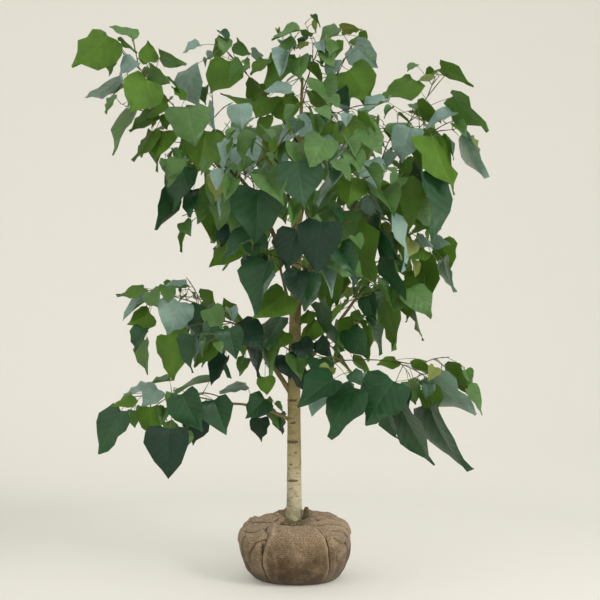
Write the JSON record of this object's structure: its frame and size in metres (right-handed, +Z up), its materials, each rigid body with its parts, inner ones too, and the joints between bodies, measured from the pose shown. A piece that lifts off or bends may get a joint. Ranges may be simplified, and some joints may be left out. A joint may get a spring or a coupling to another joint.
{
  "type": "sapling with root ball",
  "caption": "Young broadleaf tree with heart-shaped hanging leaves in tiers, standing on a burlap-wrapped root ball.",
  "frame": {"origin": "on the root ball's flat underside, below the middle of its belly", "axes": "+Z up along the trunk, +X to the right seen from the front, +Y away from the viewer"},
  "size_m": [1.4174, 1.1276, 1.9955],
  "materials": {
    "burlap": "coarse woven sacking, dry and matt",
    "trunk_bark": "smooth pale bark with fine cross marks",
    "stub_wood": "rough grey-brown dead wood",
    "bough_bark": "smooth brown-green young bark",
    "foliage": "leaves, satin above and matt below"
  },
  "bodies": {
    "root": {"root_ball": "burlap", "trunk": "trunk_bark", "cut_stub": "stub_wood", "bough_left_main": "bough_bark", "bough_left_upper": "bough_bark", "bough_left_slender": "bough_bark", "bough_right_centre": "bough_bark", "bough_right_main": "bough_bark", "bough_right_upper": "bough_bark", "bough_right_middle": "bough_bark", "bough_left_tier": "bough_bark", "bough_left_low": "bough_bark", "bough_right_low": "bough_bark", "bough_back_high": "bough_bark", "bough_back_low": "bough_bark", "bough_front_high": "bough_bark", "bough_front_low": "bough_bark", "foliage_top_left": "foliage", "foliage_shoulder_high": "foliage", "foliage_left_bunch": "foliage", "foliage_left_back": "foliage", "foliage_shoulder": "foliage", "foliage_left_front": "foliage", "foliage_left_under": "foliage", "foliage_slender_left": "foliage", "foliage_leader_left": "foliage", "foliage_leader_right": "foliage", "foliage_leader_back": "foliage", "foliage_right_centre_top": "foliage", "foliage_right_centre_front": "foliage", "foliage_right_top": "foliage", "foliage_right_far": "foliage", "foliage_right_back": "foliage", "foliage_right_shoulder": "foliage", "foliage_right_hanging": "foliage", "foliage_right_front": "foliage", "foliage_right_behind": "foliage", "foliage_right_middle_far": "foliage", "foliage_right_middle_low": "foliage", "foliage_right_middle_back": "foliage", "foliage_right_inner": "foliage", "foliage_left_tier_far": "foliage", "foliage_left_tier_front": "foliage", "foliage_left_tier_back": "foliage", "foliage_left_low_far": "foliage", "foliage_left_low_front": "foliage", "foliage_left_low_near": "foliage", "foliage_right_low_far": "foliage", "foliage_right_low_front": "foliage", "foliage_back_high_left": "foliage", "foliage_back_high_right": "foliage", "foliage_back_low_left": "foliage", "foliage_back_low_right": "foliage", "foliage_front_high_left": "foliage", "foliage_front_high_right": "foliage", "foliage_front_low": "foliage", "foliage_front_low_left": "foliage", "foliage_inner_left": "foliage", "foliage_inner_right": "foliage"}
  },
  "joints": []
}
